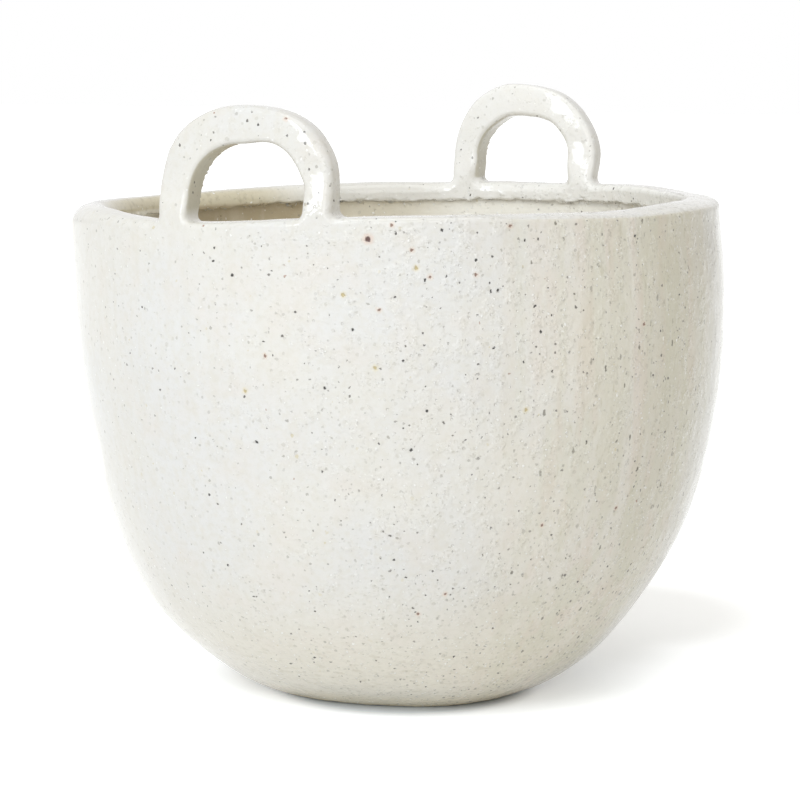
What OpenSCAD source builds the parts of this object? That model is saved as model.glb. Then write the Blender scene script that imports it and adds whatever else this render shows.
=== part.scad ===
// Round stoneware planter with two arched handles standing on its rim.
// Z = 0 is the surface it stands on, the bowl's axis is Z, and the handles are at -Y and +Y.

/* [Bowl] */
// Outer radius of the straight upper wall
belly_r = 142; // [135:0.5:150]
// Height at which the straight wall starts to curve in
curve_top_z = 167; // [158:0.5:172]
// Radius of the long upper curve of the outside
upper_curve_r = 276; // [266:1:300]
// Radius of the tighter lower curve of the outside
lower_curve_r = 114; // [95:1:125]
// Radius of the flat foot that the lower curve runs out on
foot_r = 64.5; // [58:0.5:69]
// Thickness of the wall, square to its face
wall_t = 9.5; // [7:0.25:11]

/* [Base] */
// Thickness of the clay slab that closes the bottom
slab_t = 10; // [8:0.5:14]
// Height by which the slab's floor stands up inside the foot of the wall
key_h = 3; // [1:0.5:4]
// Depth of the hollow under the slab, which leaves a standing ring
foot_hollow_depth = 1.5; // [1:0.25:3]
// Width of the standing ring
foot_ring_w = 12; // [8:0.5:18]

/* [Rim] */
// Height of the rim's crest above the floor
rim_top_z = 214; // [205:0.5:225]
// Height of the thick coil that makes the rim
lip_h = 10; // [9:0.25:13]
// Width of the coil from the outside of the wall inward
lip_w = 13; // [12:0.25:16]
// Radius of the coil's two rounded shoulders
lip_shoulder_r = 4.5; // [3:0.25:5.5]

/* [Handles] */
// Height of a handle's top above the rim's crest
handle_rise = 46; // [42:0.5:55]
// Distance between the middles of a handle's two feet
foot_span = 66; // [62:0.5:74]
// Width of the strap, seen from the front
strap_w = 13.5; // [11:0.25:15]
// Thickness of the strap, across the rim
strap_t = 12.5; // [10:0.25:13]
// Radius of the strap's rounded edges
strap_edge_r = 4.5; // [2:0.25:4.75]
// Radius of the two bends, at the middle of the strap
bend_r = 29; // [25:0.5:30]

/* [Joints] */
// Depth of the flat seats cut in the rim for the feet
seat_depth = 5; // [4:0.25:6]
// Width of the worked-in clay on each side of a foot
weld_w = 4.5; // [4:0.25:6]
// Radius of the hollow fillet that this clay makes against the leg
fillet_r = 3.5; // [2.5:0.25:3.75]
// Width of the rim left bare in front of and behind the fillets
fillet_margin = 2; // [1:0.25:3]

/* [Hidden] */
$fn = 180;
edge_fn = 48;
curve_steps = 14;
short_steps = 4;

glaze = [0.90, 0.89, 0.85];
bare_clay = [0.80, 0.75, 0.67];

// Heights and radii that follow from the sizes above
lip_seat_z = rim_top_z - lip_h;
lip_in_r = belly_r - lip_w;
foot_seat_z = rim_top_z - seat_depth;
ledge_z = slab_t - key_h;

// Centre of the upper curve, level with its top
upper_c = [belly_r - upper_curve_r, curve_top_z];
// Centre of the lower curve, which touches the upper one from inside and ends at the foot's edge
to_foot = [foot_r, 0] - upper_c;
foot_dist = norm(to_foot);
centres_apart = upper_curve_r - lower_curve_r;
along = (centres_apart ^ 2 - lower_curve_r ^ 2 + foot_dist ^ 2) / (2 * foot_dist);
across = sqrt(centres_apart ^ 2 - along ^ 2);
lower_c = upper_c + (along * to_foot + across * [-to_foot.y, to_foot.x]) / foot_dist;
// Slope of the wall where the upper curve hands over to the lower one, from upright
handover = atan2(upper_c.y - lower_c.y, lower_c.x - upper_c.x);

// A handle's middle line in its own plane, from the seat of its feet: legs, bends and crown
half_span = foot_span / 2;
leg_len = handle_rise + seat_depth - strap_w / 2 - bend_r;
crown_half = half_span - bend_r;
// The strap's middle stands over the middle of the rim at its two feet
handle_y = sqrt((belly_r - lip_w / 2) ^ 2 - half_span ^ 2);
// Half the width of the seat for one foot with its worked-in clay
seat_half_w = strap_w / 2 + weld_w;
// Longer than the rim is wide, for cuts that pass right through it
through = 3 * lip_w;

// Points of an arc below the level of its centre, from one slope to another
function arc(centre, r, from, to, steps, first = 0) = [
    for (i = [first : steps])
        let (slope = from + (to - from) * i / steps)
            centre + r * [cos(slope), -sin(slope)]
];

// Slope of the lower curve at a height, for a face at a distance inside the outer one
function slope_at(z, inset) = asin((lower_c.y - z) / (lower_curve_r - inset));

// Points of the wall's face down to a height, at a distance inside the outer face
function wall_face(inset, z) = concat(
    [[belly_r - inset, lip_seat_z]],
    arc(upper_c, upper_curve_r - inset, 0, handover, curve_steps),
    arc(lower_c, lower_curve_r - inset, handover, slope_at(z, inset), curve_steps, 1)
);

// Points of the lower curve between two heights, at a distance inside the outer face
function lower_face(inset, z_from, z_to, first = 0) = arc(
    lower_c, lower_curve_r - inset, slope_at(z_from, inset), slope_at(z_to, inset), short_steps, first
);

function reversed(points) = [for (i = [len(points) - 1 : -1 : 0]) points[i]];

// Half of the rim coil's upright section
module lip_section() {
    translate([lip_in_r, lip_seat_z]) {
        square([lip_w, lip_h - lip_shoulder_r]);
        translate([lip_shoulder_r, 0])
            square([lip_w - 2 * lip_shoulder_r, lip_h]);
        for (x = [lip_shoulder_r, lip_w - lip_shoulder_r])
            translate([x, lip_h - lip_shoulder_r])
                circle(lip_shoulder_r, $fn = edge_fn);
    }
}

// Section of a handle's strap: X across its width, Y through its thickness, with round corners
module strap_section() {
    square([strap_w - 2 * strap_edge_r, strap_t], center = true);
    square([strap_w, strap_t - 2 * strap_edge_r], center = true);
    for (x = [-1, 1], y = [-1, 1])
        translate([x * (strap_w / 2 - strap_edge_r), y * (strap_t / 2 - strap_edge_r)])
            circle(strap_edge_r, $fn = edge_fn);
}

// One leg in the handle's plane, from its seat up: X along the rim, Y up
module leg() {
    translate([half_span, 0, 0])
        rotate([-90, 0, 0])
            linear_extrude(leg_len)
                strap_section();
}

// The whole strap: two legs, two bends and the crown
module arch() {
    for (side = [0, 1])
        mirror([side, 0, 0]) {
            leg();
            translate([crown_half, leg_len, 0])
                rotate_extrude(angle = 90)
                    translate([bend_r, 0])
                        strap_section();
        }
    translate([-crown_half, leg_len + bend_r, 0])
        rotate([0, 90, 0])
            linear_extrude(2 * crown_half)
                rotate(90)
                    strap_section();
}

// Puts a shape from a handle's plane on the rim: turn 0 for the front, 180 for the back
module on_rim(turn) {
    rotate([0, 0, turn])
        translate([0, -handle_y, foot_seat_z])
            rotate([90, 0, 0])
                children();
}

// Space of one seat: the foot with its worked-in clay, up past the crest of the rim
module seat_cut() {
    translate([half_span - seat_half_w, 0, -through / 2])
        cube([2 * seat_half_w, 2 * seat_depth, through]);
}

// The clay worked in on both sides of one foot, with hollow fillets up the leg
module weld_block() {
    linear_extrude(through, center = true)
        difference() {
            translate([half_span - seat_half_w, 0])
                square([2 * seat_half_w, seat_depth + fillet_r]);
            for (x = [-1, 1])
                translate([half_span + x * seat_half_w, seat_depth + fillet_r])
                    circle(fillet_r, $fn = edge_fn);
        }
}

// One foot's worked-in clay: it fills the seat to the rim's own shape and rises on the leg
module weld(turn, side) {
    color(glaze)
        difference() {
            intersection() {
                on_rim(turn)
                    mirror([side, 0, 0])
                        weld_block();
                rotate_extrude() {
                    lip_section();
                    translate([lip_in_r + fillet_margin, lip_seat_z])
                        square([lip_w - 2 * fillet_margin, lip_h + fillet_r]);
                }
            }
            on_rim(turn)
                mirror([side, 0, 0])
                    leg();
        }
}

module base_slab() {
    hollow_r = foot_r - foot_ring_w;
    color(bare_clay)
        rotate_extrude()
            polygon(concat(
                [[0, slab_t]],
                lower_face(wall_t, slab_t, ledge_z),
                lower_face(0, ledge_z, 0),
                [[hollow_r, 0], [hollow_r, foot_hollow_depth], [0, foot_hollow_depth]]
            ));
}

module bowl_wall() {
    inner = concat(wall_face(wall_t, slab_t), lower_face(wall_t, slab_t, ledge_z, 1));
    color(glaze)
        rotate_extrude()
            polygon(concat(wall_face(0, ledge_z), reversed(inner)));
}

module rim_coil() {
    color(glaze)
        difference() {
            rotate_extrude()
                lip_section();
            for (turn = [0, 180], side = [0, 1])
                on_rim(turn)
                    mirror([side, 0, 0])
                        seat_cut();
        }
}

module handle_front() {
    color(glaze)
        on_rim(0)
            arch();
}

module handle_back() {
    color(glaze)
        on_rim(180)
            arch();
}

module front_left_weld() {
    weld(0, 1);
}

module front_right_weld() {
    weld(0, 0);
}

module back_left_weld() {
    weld(180, 0);
}

module back_right_weld() {
    weld(180, 1);
}

base_slab();
bowl_wall();
rim_coil();
handle_front();
handle_back();
front_left_weld();
front_right_weld();
back_left_weld();
back_right_weld();
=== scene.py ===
"""Looks of a round stoneware planter with two arched handles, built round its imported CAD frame.

Shapes are worked out in millimetres. Each piece is first made in the ideal shape of the CAD part,
with the small relief of its surface, and is then moved to where the hand-made pot has it.
"""
import math
from typing import NamedTuple

import bmesh
import bpy
import numpy as np
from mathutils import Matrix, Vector


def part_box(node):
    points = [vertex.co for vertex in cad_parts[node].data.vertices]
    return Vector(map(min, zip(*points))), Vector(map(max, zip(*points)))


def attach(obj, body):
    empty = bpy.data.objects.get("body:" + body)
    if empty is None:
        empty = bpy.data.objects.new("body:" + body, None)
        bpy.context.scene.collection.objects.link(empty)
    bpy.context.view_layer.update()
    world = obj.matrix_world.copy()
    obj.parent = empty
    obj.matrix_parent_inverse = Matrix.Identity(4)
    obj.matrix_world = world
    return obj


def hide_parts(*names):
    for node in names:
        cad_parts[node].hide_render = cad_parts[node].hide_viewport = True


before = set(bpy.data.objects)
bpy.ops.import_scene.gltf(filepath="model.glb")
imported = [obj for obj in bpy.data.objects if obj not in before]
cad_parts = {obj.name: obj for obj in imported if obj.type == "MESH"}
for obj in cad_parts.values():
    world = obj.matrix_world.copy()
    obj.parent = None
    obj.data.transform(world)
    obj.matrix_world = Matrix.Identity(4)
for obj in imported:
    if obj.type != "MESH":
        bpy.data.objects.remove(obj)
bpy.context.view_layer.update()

MM = 0.001

# Sizes taken from the frame
BELLY_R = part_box("bowl_wall")[1].x / MM
LIP_SEAT_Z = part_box("rim_coil")[0].z / MM
CREST_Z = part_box("rim_coil")[1].z / MM
LEDGE_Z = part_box("bowl_wall")[0].z / MM
FLOOR_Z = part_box("base_slab")[1].z / MM
WALL_T = 9.5
LIP_W = 13

# The outside of the bowl: an upright part, a long upper curve and a tighter lower one
CURVE_TOP_Z = 167
UPPER_R = 276
LOWER_R = 114
FOOT_R = 64.5

# Clay worked in at the feet of the handles, and the planes that part them from it
FILLET_R = 3
FOOT_SEAT_Z = 209
WELD_TOP_Z = 218.4
LEG_HALF_W = 7.6
SEAT_HALF_W = 11.25
# How far the blocks that part the pieces reach past the clay, and how near a cut face lies to its plane
WITHIN_RIM = 90
PAST_SIDE = 160
PAST_RIM = 170
PAST_LEG = 30
PAST_CREST_Z = 226
PAST_SEAT_Z = 240
PAST_TOP_Z = 280
ON_PLANE = 0.002

# The camera, which stands as the photograph's did
VIEW_AZIMUTH = 26.5
VIEW_DISTANCE = 1324
EYE_HEIGHT = 290
VIEW_PITCH = 7.133
LENS = 135
SENSOR = 36
PHOTO_SIDE = 800

# The height that the lamps face, in mm, and how far off they stand and the floor's side, in metres
LAMP_TARGET_Z = 130
LAMP_DISTANCE = 7
FLOOR_SIDE = 16

# The floor's own glow in the pot's shadow and beyond it, the line of points along the middle of the
# soft shadow, those of the dark one under the foot, and how far from them the glow changes over
# The glow is lower in and near these shadows, which paints them darker.
FLOOR_GLOW = (0.38, 0.66)
SOFT_SHADOW = ((12, 3, 0), (4, 40, 0), (2, 80, 0), (0, 120, 0), (16, 164, 0))
SOFT_SHADOW_R = (66, 118)
FOOT_SHADOW = ((7, -15, 0), (14, -22, 0))
FOOT_SHADOW_R = (46, 61)

GRAIN = 0.8


# Smooth steps, noise and distance fields

TABLE_SIDE = 32
noise_tables = {}


def smooth(x, low, high):
    """0 up to low, 1 from high on, and a smooth step between them."""
    share = np.clip((x - low) / (high - low), 0, 1)
    return share * share * (3 - 2 * share)


def noise(p, size, seed):
    """Smooth noise from about -1 to 1 at points, with features about size mm apart."""
    if seed not in noise_tables:
        noise_tables[seed] = np.random.default_rng(seed).uniform(-1, 1, TABLE_SIDE ** 3)
    table = noise_tables[seed]
    place = p / size + seed * 5.37
    cell = np.floor(place)
    share = place - cell
    share = share ** 3 * (share * (share * 6 - 15) + 10)
    low = cell.astype(int) % TABLE_SIDE
    high = (low + 1) % TABLE_SIDE
    x_share, y_share, z_share = share.T
    levels = []
    for z in (low[:, 2], high[:, 2]):
        lines = []
        for y in (low[:, 1], high[:, 1]):
            row = (y * TABLE_SIDE + z) * TABLE_SIDE
            start, end = table[row + low[:, 0]], table[row + high[:, 0]]
            lines.append(start + (end - start) * x_share)
        levels.append(lines[0] + (lines[1] - lines[0]) * y_share)
    return levels[0] + (levels[1] - levels[0]) * z_share


def spread(x, places, width, turn=None):
    """Smooth values between given places, each place weighed by its nearness."""
    total = np.zeros(len(x))
    weights = np.zeros(len(x))
    for place, value in places:
        gap = x - place
        if turn:
            gap = (gap + turn / 2) % turn - turn / 2
        weight = np.exp(-(gap / width) ** 2)
        total += weight * value
        weights += weight
    return total / weights


def both(a, b, edge):
    """Distance to what lies inside a and b, with the edge where they meet rounded."""
    round_part = np.hypot(np.maximum(edge + a, 0), np.maximum(edge + b, 0))
    return np.minimum(-edge, np.maximum(a, b)) + round_part


def either(a, b, fillet):
    """Distance to what lies inside a or b, with a hollow fillet where they meet."""
    hollow_part = np.hypot(np.maximum(fillet - a, 0), np.maximum(fillet - b, 0))
    return np.maximum(fillet, np.minimum(a, b)) - hollow_part


def slope_of(field, p, step=0.12):
    """The slopes of a field, or of a move of the points, along the three axes."""
    return np.stack([(field(p + axis) - field(p - axis)) / (2 * step) for axis in np.eye(3) * step], axis=1)


def unit(v):
    return v / np.linalg.norm(v, axis=1, keepdims=True)


def relief(p):
    """How far the hand-made surface stands out of the ideal one, in mm."""
    wide = 0.34 * noise(p, 42, 1) + 0.17 * noise(p, 17, 2)
    fine = 0.05 * noise(p, 6.5, 3)
    scraped = 0.06 * noise(p * (1, 1, 0.16), 8, 5)
    turned = 0.06 * noise(p * (0.1, 0.1, 1), 7, 6) * smooth(p[:, 2], 70, 15)
    return wide + fine + scraped + turned


# The handles

class Handle:
    """One arched strap, which stands over the middle of the rim.

    shape tells, by the turn in degrees from the right foot over the crown to the left foot,
    how far the strap's middle lies outside a plain arch, and half of the strap's width.
    """

    def __init__(self, name, side, x, half_span, crown_z, lean, shape):
        self.name = name
        self.side = side
        self.x = x
        self.half_span = half_span
        self.lean = lean
        self.shape = np.array(shape)
        self.bend_r = half_span - 4
        self.spring_z = crown_z - self.bend_r
        self.y = math.sqrt((BELLY_R - LIP_W / 2) ** 2 - half_span ** 2)
        self.middles = (x - half_span, x + half_span)

    def off_middle(self, x, z):
        """Distance outward from the strap's middle line, in the handle's own plane."""
        across = np.abs(x - self.x)
        bent = np.hypot(np.maximum(across - self.half_span + self.bend_r, 0), z - self.spring_z)
        plain = np.where(z < self.spring_z, across - self.half_span, bent - self.bend_r)
        return plain - spread(self.turn(x, z), self.shape[:, :2], 11)

    def half_w(self, x, z):
        """Half of the strap's width."""
        return spread(self.turn(x, z), self.shape[:, ::2], 11)

    def turn(self, x, z):
        return np.degrees(np.arctan2(np.maximum(z - self.spring_z, 0), x - self.x))


HANDLES = (
    Handle("front", -1, 0.3, 32.9, 252.6, 3.2, (
        (0, 0.2, 5.6), (25, 0, 6.4), (45, 0.4, 6.4), (60, 0.1, 6.4), (75, -0.5, 6.9), (90, -0.2, 7.7),
        (105, -0.1, 7.6), (120, 0.2, 8), (135, 0.7, 8.4), (150, 0.8, 8.4), (165, 0.1, 7.7), (180, 0.1, 7.4),
    )),
    Handle("back", 1, 4, 30.4, 253.8, -3.2, (
        (0, -0.2, 7), (15, -1, 6.6), (30, -1.6, 6.6), (45, -1.4, 6.5), (60, -1.5, 7), (75, -1.4, 7.1),
        (90, -0.3, 7.5), (110, -0.1, 7.75), (135, -0.5, 7.9), (150, -0.6, 7.4), (165, -0.4, 6.9),
        (180, -0.1, 6.5),
    )),
)
STRAP_HALF_T = 6.25
STRAP_EDGE = 2.5
STRAP_CROWN = 0.4
STRAP_BEVEL = 0.16
# Radius of the lip's shoulders, and how steeply its outer half falls, by azimuth in degrees from +X
LIP_EDGE = (
    (-150, 6), (-120, 4.5), (-90, 2.6), (-60, 2.4), (-30, 2), (0, 1.8), (26, 1.9), (50, 3), (90, 5),
    (120, 5), (160, 5.6),
)
LIP_SLOPE = (
    (-150, 0.35), (-120, 0.12), (-90, 0), (-60, 0), (-30, 0.12), (-8, 0.3), (10, 0.3), (30, 0.1), (60, 0),
    (120, 0), (170, 0.2),
)
# How much thicker the lip is on its inside, by azimuth in degrees from +X
LIP_GROWTH = (
    (-150, 3.2), (-120, 0.8), (-90, 0), (-30, 0), (-4, 1.4), (20, 3.4), (45, 2), (80, 0), (140, 0),
    (175, 1.6),
)
# Heights over which a strap leaves the rim's round for its own plane, and over which its face leans back
FREED_Z = (210, 226)
LEAN_Z = (208, 236)
LIP_UNDER_Z = 205.7


def upper_part(p):
    """Distance to the rim with both handles on it, without its relief."""
    x, y, z = p.T
    radius = np.hypot(x, y)
    azimuth = np.degrees(np.arctan2(y, x))
    growth = spread(azimuth, LIP_GROWTH, 18, turn=360) / 2
    through = radius - (BELLY_R - LIP_W / 2 - growth)
    outer_half = (np.hypot(through + 1, 1.5) + through + 1) / 2
    upward = z - CREST_Z + spread(azimuth, LIP_SLOPE, 18, turn=360) * outer_half
    half_t = LIP_W / 2 + growth
    edge = spread(azimuth, LIP_EDGE, 18, turn=360)
    for handle in HANDLES:
        here = handle.side * y > 0
        off = handle.off_middle(x, z)
        half_w = handle.half_w(x, z)
        freed = smooth(z, *FREED_Z) * smooth(np.abs(off), 24, 9)
        strap_through = handle.side * y - handle.y + handle.lean * smooth(z, *LEAN_Z)
        strap_through = through + (strap_through - through) * freed
        across = np.clip(off / half_w, -1.3, 1.3)
        thinner = (STRAP_CROWN * across ** 2 + STRAP_BEVEL * half_w * across) * freed
        with_strap = either(upward, np.abs(off) - half_w, FILLET_R)
        upward = np.where(here, with_strap, upward)
        through = np.where(here, np.abs(strap_through) + thinner, through)
        half_t = np.where(here, half_t + (STRAP_HALF_T - half_t) * freed, half_t)
        edge = np.where(here, edge + (STRAP_EDGE - edge) * smooth(z, CREST_Z, 224), edge)
    slab = both(upward, np.abs(through) - half_t, edge)
    nicks = 2.2 * np.maximum(noise(p, 2.6, 9) - 0.25, 0) - 1.8 * np.maximum(noise(p, 2.2, 10) - 0.35, 0)
    ragged = 0.4 * noise(p, 12, 7) + 0.7 * noise(p, 4, 8) - nicks
    hollow = both(radius - (BELLY_R - WALL_T), z - LIP_UNDER_Z - ragged, 1)
    return both(slab, -hollow, 1.3)


def rough_upper_part(p):
    return upper_part(p) - relief(p)


# The bowl's own profile

def curve_centres():
    """Centres of the upper and lower curves, and the slope where one hands over to the other."""
    upper = np.array([BELLY_R - UPPER_R, CURVE_TOP_Z])
    to_foot = np.array([FOOT_R, 0]) - upper
    foot_dist = np.hypot(*to_foot)
    apart = UPPER_R - LOWER_R
    along = (apart ** 2 - LOWER_R ** 2 + foot_dist ** 2) / (2 * foot_dist)
    across = math.sqrt(apart ** 2 - along ** 2)
    lower = upper + (along * to_foot + across * np.array([-to_foot[1], to_foot[0]])) / foot_dist
    return upper, lower, math.atan2(upper[1] - lower[1], lower[0] - upper[0])


UPPER_C, LOWER_C, HANDOVER = curve_centres()


def outside(p):
    """Distance to the bowl's outer face, less on the inside."""
    radius = np.hypot(p[:, 0], p[:, 1])
    z = p[:, 2]
    upper = np.hypot(radius - UPPER_C[0], z - UPPER_C[1]) - UPPER_R
    lower = np.hypot(radius - LOWER_C[0], z - LOWER_C[1]) - LOWER_R
    slope = np.arctan2(UPPER_C[1] - z, radius - UPPER_C[0])
    return np.where(slope < 0, radius - BELLY_R, np.where(slope < HANDOVER, upper, lower))


def rough_outside(p):
    return outside(p) - relief(p)


def rough_inside(p):
    return -outside(p) - WALL_T - relief(p)


def face_point(inset, down):
    """Radius and height of the wall's face at a distance down along it from its top."""
    upper_r = UPPER_R - inset
    lower_r = LOWER_R - inset
    straight = LIP_SEAT_Z - CURVE_TOP_Z
    first = np.clip((down - straight) / upper_r, 0, HANDOVER)
    second = np.maximum(down - straight - upper_r * HANDOVER, 0) / lower_r
    on_upper = np.stack([UPPER_C[0] + upper_r * np.cos(first), UPPER_C[1] - upper_r * np.sin(first)], -1)
    turn = HANDOVER + second
    on_lower = np.stack([LOWER_C[0] + lower_r * np.cos(turn), LOWER_C[1] - lower_r * np.sin(turn)], -1)
    point = np.where((second > 0)[:, None], on_lower, on_upper)
    point[down < straight, 1] = LIP_SEAT_Z - down[down < straight]
    return point


def face_length(inset, z):
    """How far down along the wall's face a height is."""
    turn = math.asin((LOWER_C[1] - z) / (LOWER_R - inset))
    return LIP_SEAT_Z - CURVE_TOP_Z + (UPPER_R - inset) * HANDOVER + (LOWER_R - inset) * (turn - HANDOVER)


# The hand's wobble: where the pot in the photograph leaves the ideal shape

# Height of the crest above a level rim, by azimuth in degrees from +X
CREST_RISE = (
    (-165, -1.8), (-150, -1.2), (-127, -0.8), (-114, -2.8), (-101, -3.4), (-90, -2.4), (-82, -1), (-72, 0.5),
    (-56, 0.9), (-38, 0.5), (-20, 0.3), (-5, 1.6), (12, 1.4), (27, 1), (45, 0.9), (60, 2.2), (75, 1.4),
    (90, 0.8), (117, 0), (135, -0.6), (150, -1.5), (165, -2.9), (180, -2.5),
)
# Swell of the radius, by height
SWELL = ((3, 0.2), (30, 0), (75, 1.4), (122, 0.3), (175, 0.8), (214, 0.1))
# Share by which the foot reaches out further at the front right
FOOT_BULGE = 0.06
# Shift of the bowl's middle to the photograph's right, by height
DRIFT = ((0, 1), (40, -2), (75, 0.4), (120, 1.1), (175, 0.2), (214, -2.6))


def wobble(p):
    """Moves points of the ideal shape to where the hand-made pot has them."""
    x, y, z = p.T
    azimuth = np.degrees(np.arctan2(y, x))
    grown = 1 + spread(z, SWELL, 24) / BELLY_R
    grown = grown + FOOT_BULGE * np.exp(-((azimuth + 44) / 22) ** 2) * smooth(z, 34, 2)
    drift = spread(z, DRIFT, 24) * smooth(z, -30, 30)
    right = math.radians(VIEW_AZIMUTH)
    near_axis = smooth(np.hypot(x, y), 20, 90)
    rise = spread(azimuth, CREST_RISE, 11, turn=360) * near_axis * smooth(z, 110, CREST_Z)
    moved_x = x * grown + drift * math.cos(right)
    moved_y = y * grown + drift * math.sin(right)
    return np.stack([moved_x, moved_y, z + rise], axis=1)


def wobble_normals(p, normals):
    """Normals of the moved surface at ideal points."""
    by_x, by_y, by_z = slope_of(wobble, p, 0.2).transpose(1, 0, 2)
    cofactors = np.stack([np.cross(by_y, by_z), np.cross(by_z, by_x), np.cross(by_x, by_y)], axis=1)
    return unit(np.einsum("nij,ni->nj", cofactors, normals))


# Meshes

def new_object(name, points, faces):
    """An object of points in mm."""
    mesh = bpy.data.meshes.new(name)
    mesh.from_pydata((np.asarray(points) * MM).tolist(), [], [list(map(int, face)) for face in faces])
    mesh.validate()
    made = bpy.data.objects.new(name, mesh)
    bpy.context.scene.collection.objects.link(made)
    return made


def values_of(items, name, width, kind=float):
    """A row of values for each of a mesh's vertices, edges, faces or corners."""
    flat = np.empty(len(items) * width, kind)
    items.foreach_get(name, flat)
    return flat.reshape(-1, width)


def points_of(mesh):
    return values_of(mesh.vertices, "co", 3) / MM


def corners_of(mesh):
    """For each face corner, its vertex and its face."""
    vertex = values_of(mesh.loops, "vertex_index", 1, int)[:, 0]
    sizes = values_of(mesh.polygons, "loop_total", 1, int)[:, 0]
    return vertex, np.repeat(np.arange(len(sizes)), sizes)


def apply_modifiers(made):
    """Swaps the object's mesh for its mesh with its modifiers applied."""
    graph = bpy.context.evaluated_depsgraph_get()
    mesh = bpy.data.meshes.new_from_object(made.evaluated_get(graph))
    made.modifiers.clear()
    old = made.data
    made.data = mesh
    bpy.data.meshes.remove(old)


def finish_mesh(made, normals, is_flat):
    """Moves the mesh by the hand's wobble and sets its normals: its own on flat hidden faces,
    and the given ones, one for each vertex, elsewhere."""
    mesh = made.data
    points = points_of(mesh)
    normals = wobble_normals(points, normals)
    mesh.vertices.foreach_set("co", (wobble(points) * MM).ravel())
    mesh.update()
    vertex, face = corners_of(mesh)
    own = values_of(mesh.polygons, "normal", 3)
    corner_normals = np.where(is_flat[face][:, None], own[face], normals[vertex])
    mesh.polygons.foreach_set("use_smooth", np.ones(len(mesh.polygons), bool))
    mesh.normals_split_custom_set(corner_normals.tolist())
    mesh.update()


def revolved(section, columns):
    """Points and faces of a closed section of radius and height, turned round the axis."""
    angles = np.arange(columns) * 2 * math.pi / columns
    radius, height = np.asarray(section, float).T
    x = np.outer(np.cos(angles), radius)
    y = np.outer(np.sin(angles), radius)
    z = np.broadcast_to(height, x.shape)
    points = np.stack([x, y, z], axis=-1).reshape(-1, 3)
    here = np.arange(x.size).reshape(x.shape)
    after = np.roll(here, -1, axis=0)
    faces = np.stack([here, after, np.roll(after, -1, axis=1), np.roll(here, -1, axis=1)], axis=-1)
    return points, faces.reshape(-1, 4)


def tube(rings):
    """Points and faces of a closed tube through rings of points."""
    count = len(rings[0])
    points = [point for ring in rings for point in ring]
    last = len(points) - 1
    faces = [range(count), range(last, last - count, -1)]
    for start in range(0, last + 1 - count, count):
        for k in range(count):
            a, b = start + k, start + (k + 1) % count
            faces.append((a, a + count, b + count, b))
    return points, faces


def joined(shapes):
    """Points and faces of several shapes as one."""
    points = []
    faces = []
    for more, more_faces in shapes:
        faces += [[len(points) + k for k in face] for face in more_faces]
        points += list(more)
    return points, faces


# The rim with its handles, made as one surface and then parted where the clay was joined

def rough_ring():
    """A plain ring, which reaches in as far as the lip does."""
    in_r = BELLY_R - LIP_W
    section = (
        (in_r, 206), (BELLY_R - WALL_T, 206), (BELLY_R - WALL_T, 198), (BELLY_R, 198), (BELLY_R, 210),
        (BELLY_R - 4, CREST_Z), (in_r + 4, CREST_Z), (in_r, 210),
    )
    points, faces = revolved(section, 240)
    azimuth = np.degrees(np.arctan2(points[:, 1], points[:, 0]))
    growth = spread(azimuth, LIP_GROWTH, 18, turn=360)
    is_inner = np.hypot(points[:, 0], points[:, 1]) < in_r + 1
    points[:, :2] *= np.where(is_inner, 1 - growth / in_r, 1)[:, None]
    return points, faces


def rough_arch(handle):
    """A plain eight-sided tube along the strap's middle line."""
    half = handle.half_span
    turns = np.radians(np.arange(0, 181, 10))
    bent_x = np.sign(np.cos(turns).round(6)) * (half - handle.bend_r) + handle.bend_r * np.cos(turns)
    bent_z = handle.spring_z + handle.bend_r * np.sin(turns)
    path = [(half, z, 0) for z in (208, 214, 220)]
    path += [(x, z, turn) for x, z, turn in zip(bent_x, bent_z, turns)]
    path += [(-half, z, math.pi) for z in (220, 214, 208)]
    rings = []
    for x, z, turn in path:
        rings.append([])
        for side in np.radians(np.arange(22.5, 360, 45)):
            out = 7 * math.cos(side)
            y = handle.side * handle.y + 6.5 * math.sin(side)
            rings[-1].append((handle.x + x + out * math.cos(turn), y, z + out * math.sin(turn)))
    return tube(rings)


def drawn_onto(points, field, steps=3):
    """Points moved onto the field's surface."""
    step = 0.1
    for _ in range(steps):
        value = field(points)
        slope = np.stack([(field(points + axis) - value) / step for axis in np.eye(3) * step], axis=1)
        move = -slope * (value / np.sum(slope ** 2, axis=1).clip(0.05))[:, None]
        length = np.linalg.norm(move, axis=1, keepdims=True)
        points = points + move * np.minimum(1, 0.8 / length.clip(1e-9))
    return points


def evened(points, edges):
    """Points moved half way to the middle of their neighbours."""
    total = np.zeros_like(points)
    for here, there in ((0, 1), (1, 0)):
        for axis in range(3):
            total[:, axis] += np.bincount(edges[:, here], points[edges[:, there], axis], len(points))
    count = np.bincount(edges.ravel(), minlength=len(points))[:, None]
    return 0.5 * points + 0.5 * total / count


def whole_upper_part():
    """The rim and both handles as one closed surface."""
    whole = new_object("upper_part", *joined([rough_ring()] + [rough_arch(handle) for handle in HANDLES]))
    remesh = whole.modifiers.new("remesh", "REMESH")
    remesh.mode = "VOXEL"
    remesh.voxel_size = GRAIN * MM
    apply_modifiers(whole)
    mesh = whole.data
    edges = values_of(mesh.edges, "vertices", 2, int)
    points = drawn_onto(points_of(mesh), upper_part)
    for _ in range(4):
        points = drawn_onto(evened(points, edges), upper_part, 2)
    points = drawn_onto(points, rough_upper_part)
    mesh.vertices.foreach_set("co", (points * MM).ravel())
    mesh.update()
    return whole


def block(outline, near, far):
    """A block with an outline in X and Z, between two distances along Y."""
    return tube([[(x, y, z) for x, z in outline] for y in (near, far)])


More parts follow.
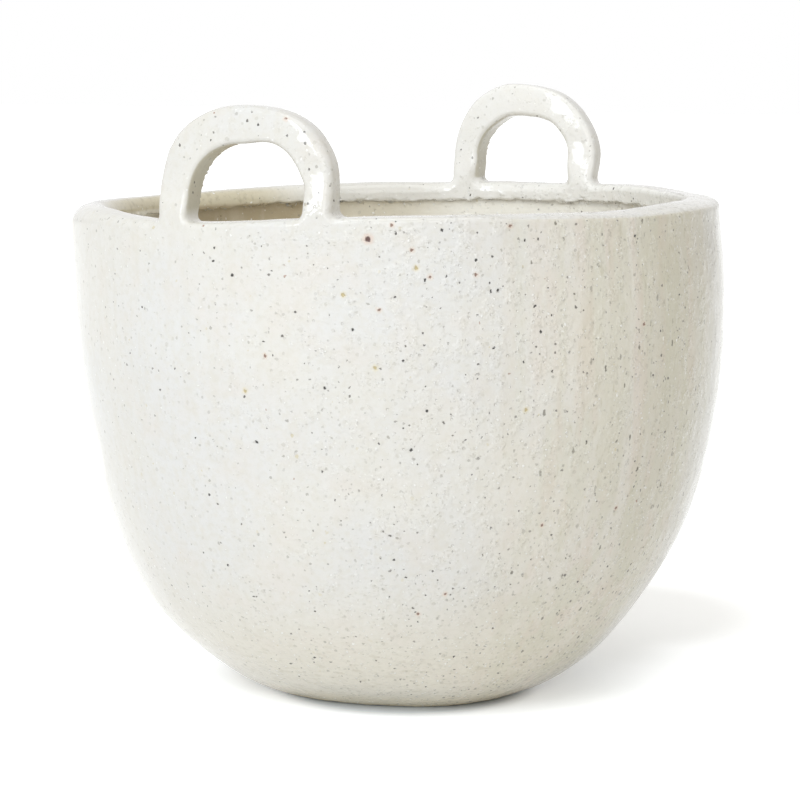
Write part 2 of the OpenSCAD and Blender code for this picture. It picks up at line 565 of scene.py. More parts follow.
def drop_flaps(mesh):
    """Takes out the thin faces that lie back to back along the edge of a cut, outside the closed surface."""
    work = bmesh.new()
    work.from_mesh(mesh)
    bmesh.ops.triangulate(work, faces=work.faces)
    by_corners = {}
    for face in work.faces:
        by_corners.setdefault(frozenset(face.verts), []).append(face)
    flaps = [face for same in by_corners.values() if len(same) > 1 for face in same]
    bmesh.ops.delete(work, geom=flaps, context="FACES")
    flaps = [face for face in work.faces if any(edge.is_boundary for edge in face.edges)]
    bmesh.ops.delete(work, geom=flaps, context="FACES")
    work.to_mesh(mesh)
    work.free()


def keep_part(whole, name, blocks, take_out=()):
    """A copy of the whole surface, cut down to some blocks and without others."""
    part = whole.copy()
    part.data = whole.data.copy()
    part.name = name
    bpy.context.scene.collection.objects.link(part)
    for operation, shapes in (("INTERSECT", blocks), ("DIFFERENCE", take_out)):
        if not shapes:
            continue
        tool = new_object("cutter", *joined(shapes))
        cut = part.modifiers.new("cut", "BOOLEAN")
        cut.operation = operation
        cut.solver = "MANIFOLD"
        cut.object = tool
        apply_modifiers(part)
        bpy.data.objects.remove(tool)
    drop_flaps(part.data)
    return part


def dress_upper_part(part, planes_x, planes_z):
    """Gives a part of the upper surface its normals and wobble. Its flat faces lie on the cutting planes."""
    mesh = part.data
    points = points_of(mesh)
    vertex, face = corners_of(mesh)
    is_flat = np.zeros(len(mesh.polygons), bool)
    sizes = np.bincount(face)
    for axis, planes in ((0, planes_x), (2, planes_z)):
        for plane in planes:
            on_plane = np.abs(points[:, axis] - plane) < ON_PLANE
            is_flat |= np.bincount(face, on_plane[vertex]) == sizes
    finish_mesh(part, unit(slope_of(rough_upper_part, points)), is_flat)


def foot_planes(handle):
    """X of the planes that part a handle's feet from the worked-in clay, and that clay from the rim."""
    return [m + s * w for m in handle.middles for s in (-1, 1) for w in (LEG_HALF_W, SEAT_HALF_W)]


def side_span(handle):
    """Y range of a handle's half of the rim."""
    return sorted((handle.side * WITHIN_RIM, handle.side * PAST_SIDE))


def upright_block(handle, low, high, top_z):
    """A block over a handle's half of the rim, from the seat of its feet up."""
    outline = ((low, FOOT_SEAT_Z), (high, FOOT_SEAT_Z), (high, top_z), (low, top_z))
    return block(outline, *side_span(handle))


def rim_blocks():
    """The block that holds the rim, and those of the seats that are cut in it."""
    out, low, high = PAST_RIM, LIP_SEAT_Z, PAST_CREST_Z
    kept = [block(((-out, low), (out, low), (out, high), (-out, high)), -out, out)]
    seats = []
    for handle in HANDLES:
        for middle in handle.middles:
            seats.append(upright_block(handle, middle - SEAT_HALF_W, middle + SEAT_HALF_W, PAST_SEAT_Z))
    return kept, seats


def handle_blocks(handle):
    """The space of a strap with its two feet, between the clay worked in beside them."""
    left, right = handle.middles
    leg, out = LEG_HALF_W, PAST_LEG
    low, high, top = FOOT_SEAT_Z, WELD_TOP_Z, PAST_TOP_Z
    outline = (
        (left - leg, low), (left + leg, low), (left + leg, high), (right - leg, high), (right - leg, low),
        (right + leg, low), (right + leg, high), (right + out, high), (right + out, top), (left - out, top),
        (left - out, high), (left - leg, high),
    )
    return [block(outline, *side_span(handle))]


def weld_blocks(handle, middle):
    """The clay worked in on both sides of one foot."""
    spans = ((-SEAT_HALF_W, -LEG_HALF_W), (LEG_HALF_W, SEAT_HALF_W))
    return [upright_block(handle, middle + low, middle + high, WELD_TOP_Z) for low, high in spans]


def upper_pieces():
    """Pairs of a piece and its node: the rim, the handles and the clay worked in at their feet."""
    whole = whole_upper_part()
    planes_x = foot_planes(HANDLES[0]) + foot_planes(HANDLES[1])
    planes_z = (LIP_SEAT_Z, FOOT_SEAT_Z, WELD_TOP_Z)
    kept, seats = rim_blocks()
    made = [(keep_part(whole, "rim", kept, seats), "rim_coil")]
    for handle in HANDLES:
        name = handle.name + "_handle"
        made.append((keep_part(whole, name, handle_blocks(handle)), "handle_" + handle.name))
        for side, middle in zip(("left", "right"), handle.middles):
            name = f"{handle.name}_{side}_joint"
            made.append((keep_part(whole, name, weld_blocks(handle, middle)), f"{handle.name}_{side}_weld"))
    bpy.data.objects.remove(whole)
    for part, _ in made:
        dress_upper_part(part, planes_x, planes_z)
    return made


# The wall and the slab

def bowl_wall():
    columns, outer_rows, inner_rows = ((660, 108, 40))
    outer = face_point(0, np.linspace(0, face_length(0, LEDGE_Z), outer_rows))
    inner = face_point(WALL_T, np.linspace(face_length(WALL_T, LEDGE_Z), 0, inner_rows))
    points, faces = revolved(np.concatenate([outer, inner])[::-1], columns)
    rows = len(outer) + len(inner)
    row = np.tile(np.arange(rows), columns)
    is_inner = row < len(inner)
    normals = np.empty_like(points)
    normals[is_inner] = unit(slope_of(rough_inside, points[is_inner]))
    normals[~is_inner] = unit(slope_of(rough_outside, points[~is_inner]))
    ideal = unit(slope_of(outside, points)) * np.where(is_inner, -1, 1)[:, None]
    wall = new_object("wall", points + ideal * relief(points)[:, None], faces)
    is_flat = np.isin(row, (len(inner) - 1, rows - 1))
    finish_mesh(wall, normals, is_flat)
    return wall


def slab_section():
    """Radius and height round the slab's half section, with its sharp bends doubled."""
    top_r = face_point(WALL_T, np.array([face_length(WALL_T, FLOOR_Z)]))[0, 0]
    dip = 2.2
    floor = [(r, FLOOR_Z - dip * (1 - (r / top_r) ** 14)) for r in np.linspace(0.3, top_r, 60)]
    riser = face_point(WALL_T, np.array([face_length(WALL_T, LEDGE_Z)]))
    side = face_point(0, np.linspace(face_length(0, LEDGE_Z), face_length(0, 2), 8))
    foot = [
        (FOOT_R - 0.1, 1.75), (FOOT_R - 0.6, 1.6), (FOOT_R - 0.6, 1.45), (FOOT_R + 0.1, 1.25),
        (FOOT_R + 0.1, 0.8), (FOOT_R - 0.3, 0.4), (FOOT_R - 1, 0.05), (FOOT_R - 2.4, 0),
    ]
    ring_in = FOOT_R - 12
    under = [(FOOT_R - 6, 0), (ring_in + 1, 0), (ring_in + 0.3, 0.3), (ring_in, 0.9), (ring_in - 0.7, 1.4)]
    hollow = [(r, 1.5) for r in np.linspace(ring_in - 1.5, 0.3, 20)]
    return floor, riser.tolist(), side.tolist(), foot, under, hollow


def foot_lift(p):
    """How far the foot's edge stands off the floor where the pot was set down unevenly."""
    azimuth = np.degrees(np.arctan2(p[:, 1], p[:, 0]))
    lift = 0.3 * (1 + 0.5 * noise(p, 5, 11)) * smooth(-azimuth, -10, 20)
    radius = np.hypot(p[:, 0], p[:, 1])
    low = np.clip(1 - p[:, 2] / LEDGE_Z, 0, 1)
    return lift * low * smooth(radius, FOOT_R - 9, FOOT_R - 3)


def base_slab():
    parts = slab_section()
    section = np.concatenate([np.array(part, float) for part in parts])
    columns = 330
    points, faces = revolved(section[::-1], columns)
    rows = len(section)
    row = rows - 1 - np.tile(np.arange(rows), columns)
    starts = np.cumsum([0] + [len(part) for part in parts])
    is_side = (row >= starts[2]) & (row < starts[3])
    outward = unit(slope_of(outside, points))
    moved = points + np.where(is_side[:, None], outward * relief(points)[:, None], 0)
    moved[:, 2] += foot_lift(points)
    slab = new_object("base", moved, faces)
    mesh = slab.data
    own = values_of(mesh.vertices, "normal", 3)
    normals = np.where(is_side[:, None], unit(slope_of(rough_outside, points)), own)
    finish_mesh(slab, normals, np.zeros(len(mesh.polygons), bool))
    is_glazed = np.repeat([True, True, True, True, False, False], [len(part) for part in parts])
    mesh.polygons.foreach_set("material_index", (~is_glazed[row]).astype(int))
    return slab


# Materials

def rgb(red, green, blue):
    """A linear colour from screen values of 0 to 255."""
    levels = []
    for value in (red, green, blue):
        v = value / 255
        levels.append(v / 12.92 if v <= 0.04045 else ((v + 0.055) / 1.055) ** 2.4)
    return (*levels, 1)


class Nodes:
    """Short calls that add nodes to a material and link them."""

    def __init__(self, name):
        self.material = bpy.data.materials.new(name)
        self.material.use_nodes = True
        self.tree = self.material.node_tree
        self.shader = self.tree.nodes["Principled BSDF"]
        self.place = self.vector("MULTIPLY", self.new("TexCoord").outputs["Object"], (1 / MM,) * 3)

    def new(self, kind):
        return self.tree.nodes.new("ShaderNode" + kind)

    def set(self, socket, value):
        if hasattr(value, "is_output"):
            self.tree.links.new(value, socket)
        elif value is not None:
            socket.default_value = value

    def shade(self, name, value):
        self.set(self.shader.inputs[name], value)

    def math(self, operation, a, b=None):
        made = self.new("Math")
        made.operation = operation
        self.set(made.inputs[0], a)
        self.set(made.inputs[1], b)
        return made.outputs[0]

    def times(self, first, *others):
        """The product of some shares."""
        for other in others:
            first = self.math("MULTIPLY", first, other)
        return first

    def vector(self, operation, a, b=None):
        made = self.new("VectorMath")
        made.operation = operation
        self.set(made.inputs[0], a)
        self.set(made.inputs[1], b)
        is_number = operation in ("DISTANCE", "DOT_PRODUCT")
        return made.outputs["Value"] if is_number else made.outputs["Vector"]

    def apart(self, vector):
        """The X, Y and Z of a vector."""
        made = self.new("SeparateXYZ")
        self.set(made.inputs[0], vector)
        return made.outputs

    def noise(self, size, detail=2, stretch=(1, 1, 1), shift=0):
        """Noise from 0 to 1 with features about size mm apart."""
        made = self.new("TexNoise")
        made.inputs["Scale"].default_value = 1
        made.inputs["Detail"].default_value = detail
        scale = tuple(s / size for s in stretch)
        place = self.vector("MULTIPLY", self.place, scale)
        self.set(made.inputs["Vector"], self.vector("ADD", place, (shift, shift * 0.7, shift * 1.3)))
        return made.outputs["Fac"]

    def dots(self, cell, shift, place):
        """Scattered points: the distance to the nearest in mm, and three random numbers of its own."""
        made = self.new("TexVoronoi")
        made.inputs["Scale"].default_value = 1
        scaled = self.vector("MULTIPLY", place, (1 / cell,) * 3)
        self.set(made.inputs["Vector"], self.vector("ADD", scaled, (shift, shift * 1.7, shift * 0.6)))
        apart = self.new("SeparateColor")
        self.set(apart.inputs[0], made.outputs["Color"])
        return self.math("MULTIPLY", made.outputs["Distance"], cell), apart.outputs

    def ramp(self, value, low, high, start=0, end=1, soft=True):
        """start up to low, end from high on."""
        made = self.new("MapRange")
        made.interpolation_type = "SMOOTHSTEP" if soft else "LINEAR"
        names = ("Value", "From Min", "From Max", "To Min", "To Max")
        for name, given in zip(names, (value, low, high, start, end)):
            self.set(made.inputs[name], given)
        return made.outputs[0]

    def mix(self, share, a, b):
        made = self.new("Mix")
        made.data_type = "RGBA"
        self.set(made.inputs[0], share)
        self.set(made.inputs[6], a)
        self.set(made.inputs[7], b)
        return made.outputs[2]

    def tint(self, tone, colour, *shares):
        """Lays a colour over a tone, by the product of some shares."""
        return self.mix(self.times(*shares), tone, rgb(*colour))

    def bump(self, height):
        """Turns heights in mm into bumps."""
        made = self.new("Bump")
        made.inputs["Strength"].default_value = 1
        made.inputs["Distance"].default_value = MM
        self.set(made.inputs["Height"], height)
        self.shade("Normal", made.outputs[0])


def scattered(nodes, cell, low_r, high_r, share, shift, place):
    """The cover of round specks scattered through a share of the cells, and a number of each one's own."""
    distance, own = nodes.dots(cell, shift, place)
    radius = nodes.ramp(own[1], 0, 1, low_r, high_r, soft=False)
    present = nodes.math("LESS_THAN", own[0], share)
    depth = nodes.math("SUBTRACT", radius, distance)
    return nodes.times(nodes.ramp(depth, -0.08, 0.2), present), own[2]


def speckled(nodes, tone, colour, low, high, *specks):
    """Lays scattered specks over a tone, each with a strength of its own. Gives the tone and their cover."""
    cover, own = scattered(nodes, *specks)
    return nodes.tint(tone, colour, cover, nodes.ramp(own, 0, 1, low, high, soft=False)), cover


def nearest(nodes, places, place):
    """Distance in mm to the nearest of some places on the pot."""
    closest = None
    for spot in places:
        distance = nodes.vector("DISTANCE", place, tuple(spot))
        closest = distance if closest is None else nodes.math("MINIMUM", closest, distance)
    return closest


def bold_specks(nodes, base, kind, place):
    """Lays the specks of one kind that stand out in the photograph over a colour."""
    distance = nearest(nodes, spots_at(kind.places), place)
    if kind.halo:
        halo = nodes.ramp(distance, kind.radius * 0.6, kind.radius * 2.6, kind.halo_strength, 0)
        base = nodes.mix(halo, base, kind.halo)
    core = nodes.ramp(distance, kind.radius * 0.55, kind.radius * 1.15, kind.strength, 0)
    return nodes.mix(core, base, kind.colour), core


def towards(nodes, azimuth, low, high, start=0, end=1):
    """start where the cosine of the angle to an azimuth round the axis is low, and end where it is high."""
    turn = math.radians(azimuth)
    outward = nodes.vector("NORMALIZE", nodes.vector("MULTIPLY", nodes.place, (1, 1, 0)))
    share = nodes.vector("DOT_PRODUCT", outward, (math.cos(turn), math.sin(turn), 0))
    return nodes.ramp(share, low, high, start, end)


def clouded(nodes, tone, clouds, *shares):
    """Lays colours over a tone in clouds of noise. Each has its size, detail, stretch along Z and shift,
    the values at which it starts and is full, its strength and its colour."""
    for size, detail, stretch, shift, low, high, strength, colour in clouds:
        cloud = nodes.ramp(nodes.noise(size, detail, (1, 1, stretch), shift), low, high, 0, strength)
        tone = nodes.tint(tone, colour, *shares, cloud)
    return tone


def plain_glaze(nodes, z):
    """The uneven off-white of the glaze."""
    # Creamier and a little lighter low down: partly the glaze's own colour, partly painted light and warmth
    # for the floor's bounce.
    low_down = nodes.ramp(z, 80, 18, 0, 0.8)
    patchy = nodes.ramp(nodes.noise(55, 3), 0.4, 0.7, 0, 0.3)
    tone = nodes.mix(nodes.math("MAXIMUM", low_down, patchy), rgb(226, 226, 225), rgb(233, 228, 214))
    return clouded(nodes, tone, (
        (17, 2, 1, 4, 0.45, 0.75, 0.3, (228, 220, 211)),
        (5, 3, 0.12, 9, 0.45, 0.75, 0.16, (214, 210, 196)),
        (3, 3, 1, 2, 0.4, 0.72, 0.32, (218, 214, 202)),
    ))


def streaked_and_shaded_side(nodes, tone, facing):
    """The creamier side, where the glaze has run down in bands and streaks. Its cream is partly painted warm
    shade on the side away from the light, so its upward faces stay white.
    """
    upright = nodes.ramp(facing["Z"], 0.75, 0.4)
    side = nodes.times(towards(nodes, -10, 0.7, 0.985), upright)
    tone = nodes.tint(tone, (229, 222, 204), side, 0.42)
    band = nodes.times(towards(nodes, -6, 0.965, 0.995), upright)
    tone = nodes.tint(tone, (195, 190, 165), band, 0.4)
    tone = clouded(nodes, tone, (
        (11, 2, 0.06, 29, 0.42, 0.6, 0.3, (204, 203, 178)),
        (9, 2, 0.1, 37, 0.5, 0.66, 0.3, (222, 206, 194)),
        (1.9, 3, 0.3, 31, 0.55, 0.75, 0.4, (190, 185, 160)),
        (3.4, 3, 0.3, 33, 0.55, 0.75, 0.35, (236, 234, 226)),
    ), side)
    # Painted shade: the edge further right is made darker.
    shaded_edge = nodes.times(towards(nodes, 30, 0.8, 0.95), upright)
    uneven = nodes.ramp(nodes.noise(7, 3, (1, 1, 0.08), 47), 0.35, 0.6, 0.4, 0.85)
    return nodes.tint(tone, (206, 205, 200), shaded_edge, uneven)


def painted_shade_left(nodes, tone, z):
    """Painted shade: the left side, above the foot, is made a little darker."""
    return nodes.tint(tone, (202, 202, 200), towards(nodes, -157, 0.95, 1, 0, 0.7), nodes.ramp(z, 12, 30))


def brushed_foot_with_painted_light(nodes, tone, z):
    """The level brush marks near the foot, and the browner clay at its edge, made paler as painted light
    against the shade near the floor.
    """
    marks = nodes.ramp(nodes.noise(1.7, 3, (0.3, 0.3, 1), 35), 0.54, 0.7, 0, 0.24)
    tone = nodes.tint(tone, (186, 178, 152), nodes.ramp(z, 52, 22), marks)
    # Browner clay at the edge, made paler as painted light against the shade near the floor.
    return nodes.tint(tone, (232, 220, 192), nodes.ramp(z, 10, 2, 0, 0.8))


def painted_inside_light_and_shade(nodes, tone, z, normal):
    """The inside, with painted light and shade: the lip's inner face is olive and blotchy at the far left as
    shade and lighter elsewhere, and the wall below the lip is painted light, darker and ragged brown towards
    the left as shade.
    """
    outward = nodes.vector("MULTIPLY", nodes.place, (1 / BELLY_R, 1 / BELLY_R, 0))
    inside = nodes.ramp(nodes.vector("DOT_PRODUCT", normal, outward), -0.15, -0.5)
    # Painted shade: the lip's inner face at the far left is olive and blotchy.
    olive = towards(nodes, 174, 0.74, 0.92)
    blotches = nodes.ramp(nodes.noise(3.2, 3, shift=39), 0.5, 0.7, 0, 0.4)
    shaded_lip = nodes.mix(blotches, rgb(216, 208, 184), rgb(172, 162, 134))
    tone = nodes.mix(nodes.times(inside, olive, nodes.ramp(z, 214, 210)), tone, shaded_lip)
    # Painted light: the far wall below the lip is lighter than the glaze, and darker towards the left as
    # painted shade.
    middle = nodes.mix(towards(nodes, 140, 0.78, 0.96), rgb(249, 247, 240), rgb(219, 212, 195))
    ragged = nodes.math("ADD", z, nodes.ramp(nodes.noise(14, 3, (1, 1, 0.3), 45), 0.3, 0.7, -14, 14))
    # Painted shade: a ragged brown high on the wall at the left.
    shaded_left = towards(nodes, 153, 0.89, 0.965)
    painted_shade_wall = nodes.tint(middle, (182, 168, 141), shaded_left, nodes.ramp(ragged, 168, 196))
    below = nodes.ramp(z, LIP_UNDER_Z + 0.6, LIP_UNDER_Z - 1.6)
    tone = nodes.mix(nodes.times(inside, below), tone, painted_shade_wall)
    # Painted light on the lip's inner face, and a greyer band on it further round.
    above = nodes.ramp(z, LIP_UNDER_Z - 1, LIP_UNDER_Z + 1, 0, 0.6)
    tone = nodes.tint(tone, (250, 249, 246), inside, nodes.math("SUBTRACT", 1, olive), above)
    above = nodes.ramp(z, LIP_UNDER_Z - 1, LIP_UNDER_Z + 1, 0, 0.4)
    return nodes.tint(tone, (196, 192, 182), inside, above, towards(nodes, 122, 0.95, 0.99))


def painted_shade_under_handles(nodes, tone, place, facing):
    """Painted shade on the inner faces of the straps' left legs and bends, which face away from the light.
    """
    handle = nodes.ramp(place["Z"], CREST_Z - 1, CREST_Z + 3)
    left = nodes.ramp(place["X"], 14, 4, 0.2, 1)
    under = nodes.math("SUBTRACT", facing["X"], nodes.times(facing["Z"], 0.6))
    return nodes.tint(tone, (193, 187, 164), handle, left, nodes.ramp(under, 0.7, 0.96, 0, 0.65))


def scratched(nodes, tone, rough):
    """Lays fine dark scratches and light scrapes over a tone, most where the surface is rough."""
    scratches = nodes.ramp(nodes.noise(1.2, 3, shift=21), 0.56, 0.66)
    tone = nodes.tint(tone, (160, 156, 140), scratches, nodes.ramp(rough, 0, 1, 0.04, 0.26))
    scrapes = nodes.ramp(nodes.noise(1.3, 3, shift=27), 0.6, 0.7)
    return nodes.tint(tone, (248, 248, 245), scrapes, nodes.ramp(rough, 0, 1, 0.05, 0.6))


def bent_places(nodes):
    """The places moved a little by noise, which makes the specks uneven."""
    warp = nodes.new("TexNoise")
    warp.inputs["Scale"].default_value = 1
    nodes.set(warp.inputs["Vector"], nodes.vector("MULTIPLY", nodes.place, (0.9,) * 3))
    off = nodes.vector("SUBTRACT", warp.outputs["Color"], (0.5, 0.5, 0.5))
    return nodes.vector("ADD", nodes.place, nodes.vector("MULTIPLY", off, (1.5,) * 3))


def fine_specks(nodes, tone, z, bent):
    """Lays the scattered specks over a tone. Gives the tone and each kind's cover."""
    lower = nodes.ramp(z, 90, 40, 1, 1.45)
    few = nodes.times(towards(nodes, 10, -0.5, 0.9, 0.24, 0.42), lower)
    more = nodes.times(towards(nodes, 10, -0.5, 0.9, 0.24, 0.66), lower)
    light = nodes.ramp(z, 80, 30, 0, 0.95)
    light = nodes.math("MAXIMUM", towards(nodes, 10, -0.5, 0.95, 0.2, 0.6), light)
    long = nodes.vector("MULTIPLY", bent, (1, 1, 0.45))
    right = towards(nodes, 0, 0.6, 0.95, 0, 0.5)
    # Name, colour, range of strengths, size of the cells, range of radii, share of cells, shift and places
    kinds = (
        ("stains", (172, 168, 154), 0.06, 0.3, 3.2, 0.5, 1.1, few, 1, bent),
        ("faint", (140, 136, 126), 0.15, 0.55, 3, 0.4, 0.75, few, 3, bent),
        ("yellow", (204, 190, 140), 0.15, 0.5, 9, 0.4, 0.9, 0.5, 13, bent),
        ("rusty", (158, 116, 92), 0.25, 0.8, 9, 0.35, 0.7, 0.25, 11, bent),
        ("grains", (250, 250, 248), 0.3, 0.9, 2.2, 0.3, 0.6, light, 17, bent),
        ("grey", (104, 100, 92), 0.4, 0.9, 4, 0.32, 0.6, more, 5, bent),
        ("dark", (52, 48, 45), 0.7, 1, 4.4, 0.28, 0.58, more, 7, bent),
        ("runs", (96, 92, 78), 0.2, 0.9, 3.4, 0.4, 0.75, right, 23, long),
    )
    covers = {"pits": scattered(nodes, 2.6, 0.3, 0.6, more, 19, nodes.place)[0]}
    for name, *values in kinds:
        tone, covers[name] = speckled(nodes, tone, *values)
    return tone, covers


def small_relief(nodes, z, rough, covers):
    """Heights of the small relief, in mm. The handles and two sides are smoother."""
    heights = nodes.times(nodes.noise(3, 3, shift=12), 0.16)
    for name, depth in (("grains", 0.16), ("pits", -0.26), ("grey", -0.14), ("dark", -0.22), ("bold", -0.3)):
        heights = nodes.math("ADD", heights, nodes.times(covers[name], depth))
    heights = nodes.math("ADD", heights, nodes.times(nodes.noise(1.5, 3, shift=43), rough, 0.45))
    left = towards(nodes, -150, 0.75, 0.97, 1, 0.3)
    right = towards(nodes, 22, 0.9, 0.98, 1, 0.45)
    return nodes.times(heights, nodes.times(nodes.ramp(z, 214, 224, 1, 0.25), left, right))


def speckled_glaze(kinds):
    """Off-white satin glaze over a speckled body."""
    nodes = Nodes("speckled_glaze")
    normal = nodes.new("NewGeometry").outputs["Normal"]
    facing = nodes.apart(normal)
    place = nodes.apart(nodes.place)
    z = place["Z"]
    gritty = nodes.ramp(nodes.noise(7, 2, shift=41), 0.46, 0.62)
    rough = nodes.times(gritty, towards(nodes, 10, -0.95, 0.9, 0.05, 1), nodes.ramp(z, 60, 35, 1, 0.5))
    tone = streaked_and_shaded_side(nodes, plain_glaze(nodes, z), facing)
    tone = brushed_foot_with_painted_light(nodes, painted_shade_left(nodes, tone, z), z)
    tone = painted_inside_light_and_shade(nodes, tone, z, normal)
    tone = painted_shade_under_handles(nodes, tone, place, facing)
    bent = bent_places(nodes)
    tone, covers = fine_specks(nodes, scratched(nodes, tone, rough), z, bent)
    for kind in kinds:
        tone, core = bold_specks(nodes, tone, kind, bent)
        covers["bold"] = nodes.math("MAXIMUM", covers["bold"], core) if "bold" in covers else core
    nodes.shade("Base Color", tone)
    nodes.shade("Roughness", nodes.ramp(nodes.noise(9, 3, shift=8), 0.3, 0.7, 0.045, 0.12))
    nodes.bump(small_relief(nodes, z, rough, covers))
    return nodes.material


def bare_clay():
    """Unglazed fired stoneware."""
    nodes = Nodes("bare_clay")
    tone = nodes.mix(nodes.ramp(nodes.noise(14, 4), 0.35, 0.7), rgb(205, 190, 166), rgb(188, 168, 140))
    tone, _ = speckled(nodes, tone, (120, 104, 86), 0.3, 0.8, 1.7, 0.12, 0.3, 0.6, 1, nodes.place)
    tone, _ = speckled(nodes, tone, (60, 48, 40), 0.5, 0.9, 5, 0.3, 0.6, 0.5, 3, nodes.place)
    nodes.shade("Base Color", tone)
    nodes.shade("Roughness", nodes.ramp(nodes.noise(3, 3), 0.3, 0.7, 0.72, 0.9))
    nodes.bump(nodes.times(nodes.noise(0.9, 4, shift=3), 0.16))
    return nodes.material


# Camera, light and ground

def make_camera():
    data = bpy.data.cameras.new("camera")
    data.lens = LENS
    data.sensor_width = SENSOR
    camera = bpy.data.objects.new("camera", data)
    turn = math.radians(VIEW_AZIMUTH)
    reach = VIEW_DISTANCE * MM
    camera.location = (reach * math.sin(turn), -reach * math.cos(turn), EYE_HEIGHT * MM)
    camera.rotation_euler = (math.radians(90 - VIEW_PITCH), 0, turn)
    bpy.context.scene.collection.objects.link(camera)
    bpy.context.scene.camera = camera


def area_lamp(name, left, up, width, height, power, tint=(1, 1, 1)):
    """A soft box that faces the pot. left is in degrees to the left of the camera, up above the floor."""
    data = bpy.data.lights.new(name, "AREA")
    data.shape = "RECTANGLE"
    data.size = width
    data.size_y = height
    data.energy = power
    data.color = tint
    lamp = bpy.data.objects.new(name, data)
    azimuth = math.radians(VIEW_AZIMUTH - left)
    rise = math.radians(up)
    target = Vector((0, 0, LAMP_TARGET_Z * MM))
    away = Vector((math.sin(azimuth) * math.cos(rise), -math.cos(azimuth) * math.cos(rise), math.sin(rise)))
    lamp.location = target + away * LAMP_DISTANCE
    lamp.rotation_euler = away.to_track_quat("Z", "Y").to_euler()
    bpy.context.scene.collection.objects.link(lamp)


def seen_directly(tree):
    """1 for rays from the camera and for what mirrors and glass show, 0 for light on the object."""
    path = tree.nodes.new("ShaderNodeLightPath")
    total = path.outputs["Is Camera Ray"]
    for name in ("Is Glossy Ray", "Is Transmission Ray"):
        add = tree.nodes.new("ShaderNodeMath")
        add.operation = "ADD"
        add.use_clamp = True
        tree.links.new(total, add.inputs[0])
        tree.links.new(path.outputs[name], add.inputs[1])
        total = add.outputs[0]
    return total


def make_world():
    world = bpy.data.worlds.new("studio")
    world.use_nodes = True
    bpy.context.scene.world = world
    tree = world.node_tree
    light = tree.nodes["Background"]
    white = tree.nodes.new("ShaderNodeBackground")
    for node, colour, strength in ((light, (1, 0.95, 0.85, 1), 0.505), (white, (1, 1, 1, 1), 1)):
        node.inputs["Color"].default_value = colour
        node.inputs["Strength"].default_value = strength
    mix = tree.nodes.new("ShaderNodeMixShader")
    tree.links.new(seen_directly(tree), mix.inputs[0])
    tree.links.new(light.outputs[0], mix.inputs[1])
    tree.links.new(white.outputs[0], mix.inputs[2])
    tree.links.new(mix.outputs[0], tree.nodes["World Output"].inputs["Surface"])


def make_floor():
    """A pale floor that keeps the pot's shadow and is white beside it; its glow, lower round the pot, paints
    the shadow darker.
    """
    bpy.ops.mesh.primitive_grid_add(x_subdivisions=4, y_subdivisions=4, size=FLOOR_SIDE, location=(0, 0, 0))
    floor = bpy.context.object
    floor.name = "floor"
    nodes = Nodes("pale_floor")
    nodes.shade("Roughness", 0.9)
    nodes.shade("Specular IOR Level", 0.1)
    # The glow is taken away along the pot's shadow and under its foot, which paints shadow there; the
    # floor's colour is bluer in that painted shadow under the foot.
    soft = nodes.ramp(nearest(nodes, SOFT_SHADOW, nodes.place), *SOFT_SHADOW_R, *FLOOR_GLOW)
    dark = nodes.ramp(nearest(nodes, FOOT_SHADOW, nodes.place), *FOOT_SHADOW_R)
    glow = nodes.times(soft, dark)
    cool_painted_shade = nodes.mix(dark, (0.83, 0.88, 0.95, 1), (0.87, 0.87, 0.87, 1))
    nodes.shade("Base Color", cool_painted_shade)
    emission = nodes.new("Emission")
    emission.inputs["Color"].default_value = (0.92, 0.96, 1, 1)
    nodes.set(emission.inputs["Strength"], nodes.times(seen_directly(nodes.tree), glow))
    add = nodes.new("AddShader")
    nodes.set(add.inputs[0], nodes.shader.outputs[0])
    nodes.set(add.inputs[1], emission.outputs[0])
    nodes.set(nodes.tree.nodes["Material Output"].inputs["Surface"], add.outputs[0])
    floor.data.materials.append(nodes.material)


# The specks that stand out in the photograph

class Kind(NamedTuple):
    """One kind of bold speck, with its places in the photograph, in pixels of its frame."""
    places: tuple
    radius: float
    colour: tuple
    strength: float
    halo: tuple = None
    halo_strength: float = 0


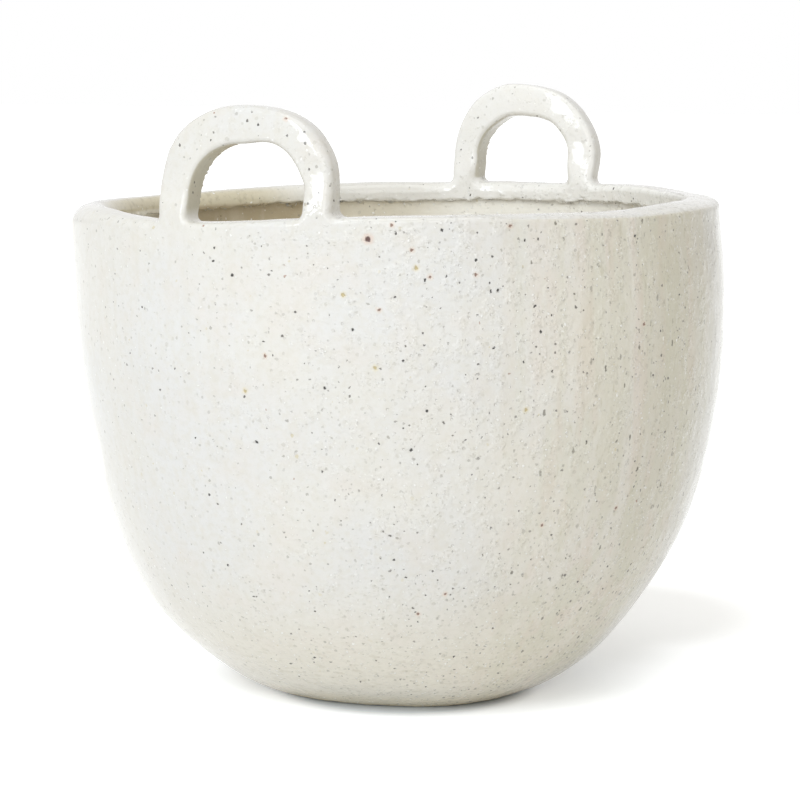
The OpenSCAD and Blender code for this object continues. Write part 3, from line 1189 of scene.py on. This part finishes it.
LARGE_PLACES = ((368, 239),)
BLACK_PLACES = (
    (442, 230), (491, 291), (498, 290), (476, 260), (213, 261), (232, 275), (353, 330), (325, 388),
    (257, 442), (535, 306), (541, 332), (494, 348), (403, 361), (427, 411), (411, 450), (635, 236),
    (668, 378), (228, 565), (394, 560), (258.1, 124.7), (425, 280),
)
GREY_PLACES = (
    (282, 336), (478, 364), (444, 423), (653, 375), (218, 504), (390, 536), (565, 575), (413, 608),
    (576, 307), (247.3, 120.6), (304.2, 131.7), (305.1, 143.3), (179.7, 145), (194.4, 182.3), (192.9, 192.8),
)
RUST_PLACES = (
    (392, 225), (412, 250), (430, 277), (476, 275), (379, 310), (644, 324), (616, 508),
    (542, 525), (445, 594), (418, 614), (510, 226), (265, 356), (285.9, 118.8),
)
OCHRE_PLACES = ((416, 268), (526, 410), (343, 295), (375, 368), (245, 391))


def spots_at(places):
    """Where on the pot the photograph shows some places."""
    camera = bpy.context.scene.camera
    graph = bpy.context.evaluated_depsgraph_get()
    focal = LENS / SENSOR * PHOTO_SIDE
    spots = []
    for x, y in places:
        ray = Vector((x - PHOTO_SIDE / 2, PHOTO_SIDE / 2 - y, -focal)).normalized()
        direction = camera.rotation_euler.to_matrix() @ ray
        hit, spot, *_ = bpy.context.scene.ray_cast(graph, camera.location, direction)
        if hit:
            spots.append(spot / MM)
    return spots


def speck_kinds():
    return (
        Kind(OCHRE_PLACES, 0.8, rgb(190, 172, 122), 0.8, rgb(226, 214, 174), 0.5),
        Kind(RUST_PLACES, 0.7, rgb(126, 92, 76), 0.85, rgb(228, 208, 192), 0.6),
        Kind(LARGE_PLACES, 1.25, rgb(84, 52, 48), 0.95, rgb(226, 196, 180), 0.6),
        Kind(GREY_PLACES, 0.6, rgb(92, 88, 82), 0.85),
        Kind(BLACK_PLACES, 0.66, rgb(40, 37, 34), 0.95),
    )


def main():
    bpy.context.scene.view_settings.view_transform = "Standard"
    make_camera()
    made = upper_pieces()
    made.append((bowl_wall(), "bowl_wall"))
    made.append((base_slab(), "base_slab"))
    for piece, node in made:
        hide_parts(node)
    bpy.context.view_layer.update()
    glaze = speckled_glaze(speck_kinds())
    clay = bare_clay()
    for piece, node in made:
        piece.data.materials.clear()
        piece.data.materials.append(glaze)
        if node == "base_slab":
            piece.data.materials.append(clay)
        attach(piece, "root")
    make_world()
    make_floor()
    area_lamp("key", left=35, up=33, width=1.66, height=5.6, power=231, tint=(0.86, 0.93, 1))
    area_lamp("top", left=0, up=80, width=4, height=4, power=79)
    area_lamp("front", left=0, up=20, width=4.5, height=3.5, power=74)


main()
